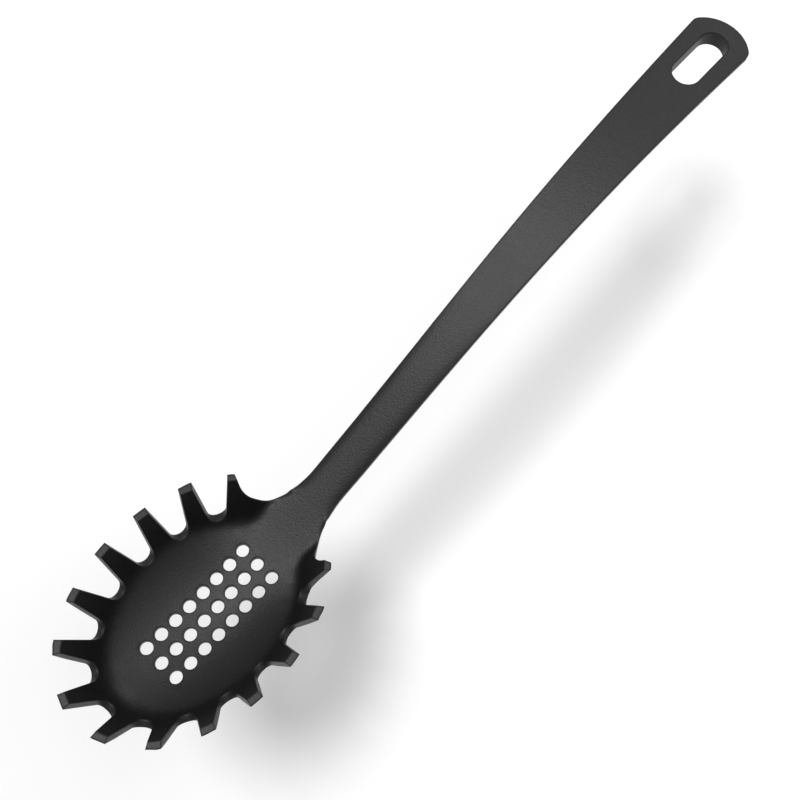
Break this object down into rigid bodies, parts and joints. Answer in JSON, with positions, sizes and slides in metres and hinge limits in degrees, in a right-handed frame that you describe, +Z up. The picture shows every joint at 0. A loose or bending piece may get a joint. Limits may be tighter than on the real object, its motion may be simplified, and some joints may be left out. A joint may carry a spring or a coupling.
{
  "type": "pasta server",
  "caption": "One-piece moulded pasta server: an oval toothed bowl with drain holes on a long curved handle with a hanging slot.",
  "frame": {"origin": "centre of the footprint, on the table that the server lies on, bowl up", "axes": "+Y from the bowl towards the end of the handle, +X across the bowl, +Z up from the table"},
  "size_m": [0.0696, 0.3178, 0.0509],
  "materials": {
    "black_nylon": "fine spark-eroded matt grain"
  },
  "bodies": {
    "root": {"server_body": "black_nylon"}
  },
  "joints": []
}
